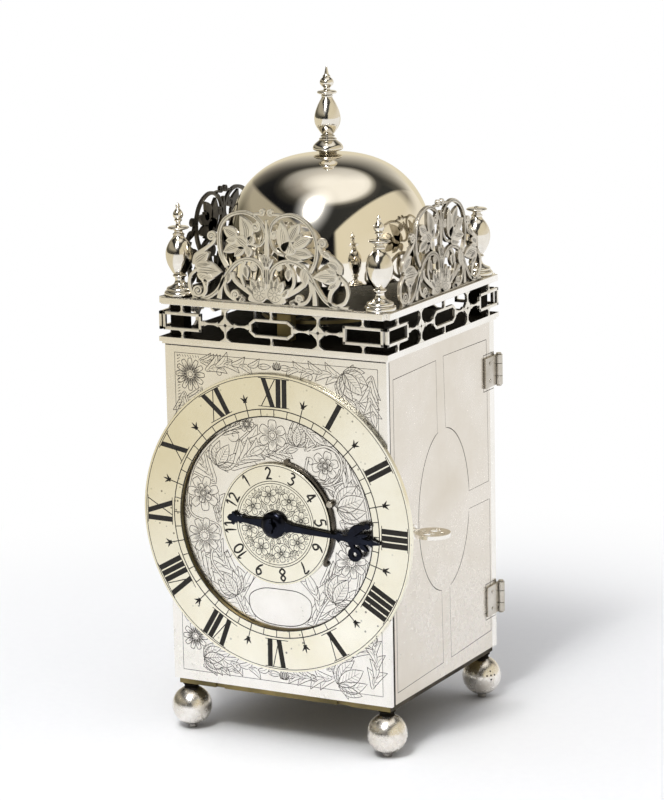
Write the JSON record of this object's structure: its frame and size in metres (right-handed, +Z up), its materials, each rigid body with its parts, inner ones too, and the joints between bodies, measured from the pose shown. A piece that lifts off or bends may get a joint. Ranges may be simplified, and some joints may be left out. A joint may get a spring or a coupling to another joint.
{
  "type": "lantern clock",
  "caption": "Small lantern clock in silver and brass: box case on ball feet, dial with hour hand and alarm disc, pierced crests, bell and turned finials.",
  "frame": {"origin": "on the surface the clock stands on, midway between its four ball feet", "axes": "+Z up, dial towards -Y, +X to the viewer's right when facing the dial"},
  "size_m": [0.1112, 0.0881, 0.222],
  "materials": {
    "polished_silver": "polished silver with soft wear, dark reflections",
    "case_silver": "warm pale silver sheet, satin, fine handling marks",
    "fret_silver": "matte cast silver, chased lines darkened in the hollows",
    "silver_gilt": "pale silver-gilt, satin, engraved and waxed black",
    "brass": "old unpolished brass, olive tone",
    "dark_metal": "tarnished nearly black",
    "blued_steel": "polished steel blued dark",
    "steel": "plain polished steel"
  },
  "bodies": {
    "case": {"base_plate": "brass", "front_plate": "case_silver", "back_plate": "case_silver", "case_posts": "brass", "lower_cornice": "case_silver", "gallery_posts": "dark_metal", "front_gallery_strip": "fret_silver", "back_gallery_strip": "fret_silver", "right_gallery_strip": "fret_silver", "left_gallery_strip": "fret_silver", "top_plate": "dark_metal", "top_mouldings": "case_silver", "front_crest": "fret_silver", "right_crest": "fret_silver", "left_crest": "fret_silver", "front_left_finial": "polished_silver", "front_right_finial": "polished_silver", "back_left_finial": "polished_silver", "back_right_finial": "polished_silver", "bell": "polished_silver", "bell_post": "steel", "bell_nut": "polished_silver", "ball_feet": "polished_silver", "case_hinge_leaves": "case_silver", "hinge_pins": "case_silver", "chapter_ring": "silver_gilt", "alarm_spring": "blued_steel", "alarm_stud": "case_silver", "movement_front_plate": "brass", "movement_back_plate": "brass", "movement_pillars": "brass", "movement_screws": "steel", "potences": "brass", "balance_cock": "brass"},
    "right_side": {"right_door": "case_silver", "right_door_leaves": "case_silver"},
    "right_bow": {"right_latch": "case_silver"},
    "left_side": {"left_door": "case_silver", "left_door_leaves": "case_silver"},
    "left_bow": {"left_latch": "case_silver"},
    "hour_work": {"hour_hand": "blued_steel", "hand_pin": "blued_steel", "hour_wheel": "brass"},
    "alarm_dial": {"alarm_disc": "silver_gilt"},
    "great_wheel": {"going_barrel": "brass", "going_mainspring": "steel"},
    "great_arbor": {"going_arbor": "steel"},
    "great_click": {"going_click": "steel"},
    "centre_arbor": {"centre_wheel": "brass"},
    "third_arbor": {"third_wheel": "brass"},
    "crown_arbor": {"crown_wheel": "brass"},
    "balance": {"verge_staff": "steel", "balance_wheel": "brass"},
    "alarm_drum": {"alarm_barrel": "brass", "alarm_mainspring": "steel"},
    "alarm_winder": {"alarm_arbor": "steel"},
    "alarm_pawl": {"alarm_click": "steel"},
    "hammer_staff": {"alarm_staff": "steel", "alarm_hammer": "steel"},
    "release_lever": {"alarm_lever": "steel"}
  },
  "joints": [
    {"name": "right_door_hinge", "type": "hinge", "parent": "case", "child": "right_side", "pos_m": [0.0423, 0.0412, 0.0754], "axis": [0, 0, 1], "range_deg": [0, 110]},
    {"name": "left_door_hinge", "type": "hinge", "parent": "case", "child": "left_side", "pos_m": [-0.0423, 0.0412, 0.0754], "axis": [0, 0, -1], "range_deg": [0, 110]},
    {"name": "right_latch_turn", "type": "hinge", "parent": "right_side", "child": "right_bow", "pos_m": [0.0412, -0.0255, 0.074], "axis": [1, 0, 0], "range_deg": [0, 90]},
    {"name": "left_latch_turn", "type": "hinge", "parent": "left_side", "child": "left_bow", "pos_m": [-0.0412, -0.0255, 0.074], "axis": [1, 0, 0], "range_deg": [0, 90]},
    {"name": "hour_hand_turn", "type": "hinge", "parent": "case", "child": "hour_work", "pos_m": [0, -0.03, 0.0758], "axis": [0, 1, 0], "continuous": true},
    {"name": "alarm_disc_turn", "type": "hinge", "parent": "hour_work", "child": "alarm_dial", "pos_m": [0, -0.041, 0.0758], "axis": [0, 1, 0], "continuous": true},
    {"name": "great_wheel_turn", "type": "hinge", "parent": "case", "child": "great_wheel", "pos_m": [0.01342, 0, 0.03743], "axis": [0, 1, 0], "continuous": true},
    {"name": "great_arbor_winding", "type": "hinge", "parent": "case", "child": "great_arbor", "pos_m": [0.01342, 0.022, 0.03743], "axis": [0, 1, 0], "continuous": true},
    {"name": "great_click_swing", "type": "hinge", "parent": "case", "child": "great_click", "pos_m": [0.00692, 0.022, 0.04393], "axis": [0, 1, 0], "range_deg": [0, 4.5]},
    {"name": "centre_arbor_turn", "type": "hinge", "parent": "case", "child": "centre_arbor", "pos_m": [0.01342, 0, 0.05663], "axis": [0, 1, 0], "continuous": true},
    {"name": "third_arbor_turn", "type": "hinge", "parent": "case", "child": "third_arbor", "pos_m": [0.01342, 0, 0.07463], "axis": [0, 1, 0], "continuous": true},
    {"name": "crown_arbor_turn", "type": "hinge", "parent": "case", "child": "crown_arbor", "pos_m": [0, 0.01, 0.08663], "axis": [0, 1, 0], "continuous": true},
    {"name": "balance_swing", "type": "hinge", "parent": "case", "child": "balance", "pos_m": [0, -0.0046, 0.14], "axis": [0, 0, 1], "range_deg": [-25, 25]},
    {"name": "alarm_drum_turn", "type": "hinge", "parent": "case", "child": "alarm_drum", "pos_m": [-0.02, 0, 0.05], "axis": [0, 1, 0], "continuous": true},
    {"name": "alarm_winder_winding", "type": "hinge", "parent": "case", "child": "alarm_winder", "pos_m": [-0.02, 0.022, 0.05], "axis": [0, 1, 0], "continuous": true},
    {"name": "alarm_pawl_swing", "type": "hinge", "parent": "case", "child": "alarm_pawl", "pos_m": [-0.0265, 0.022, 0.0565], "axis": [0, 1, 0], "range_deg": [0, 4.5]},
    {"name": "hammer_swing", "type": "hinge", "parent": "case", "child": "hammer_staff", "pos_m": [-0.02, -0.016, 0.1], "axis": [0, 0, 1], "range_deg": [-15, 15]},
    {"name": "release_lever_lift", "type": "hinge", "parent": "case", "child": "release_lever", "pos_m": [-0.017, 0, 0.093], "axis": [0, 1, 0], "range_deg": [0, 6]}
  ],
  "couplings": [
    {"joint": "great_wheel_turn", "follows": "third_arbor_turn", "ratio": 0.017857},
    {"joint": "centre_arbor_turn", "follows": "third_arbor_turn", "ratio": -0.125},
    {"joint": "crown_arbor_turn", "follows": "third_arbor_turn", "ratio": -9},
    {"joint": "hour_hand_turn", "follows": "third_arbor_turn", "ratio": 0.010417}
  ]
}
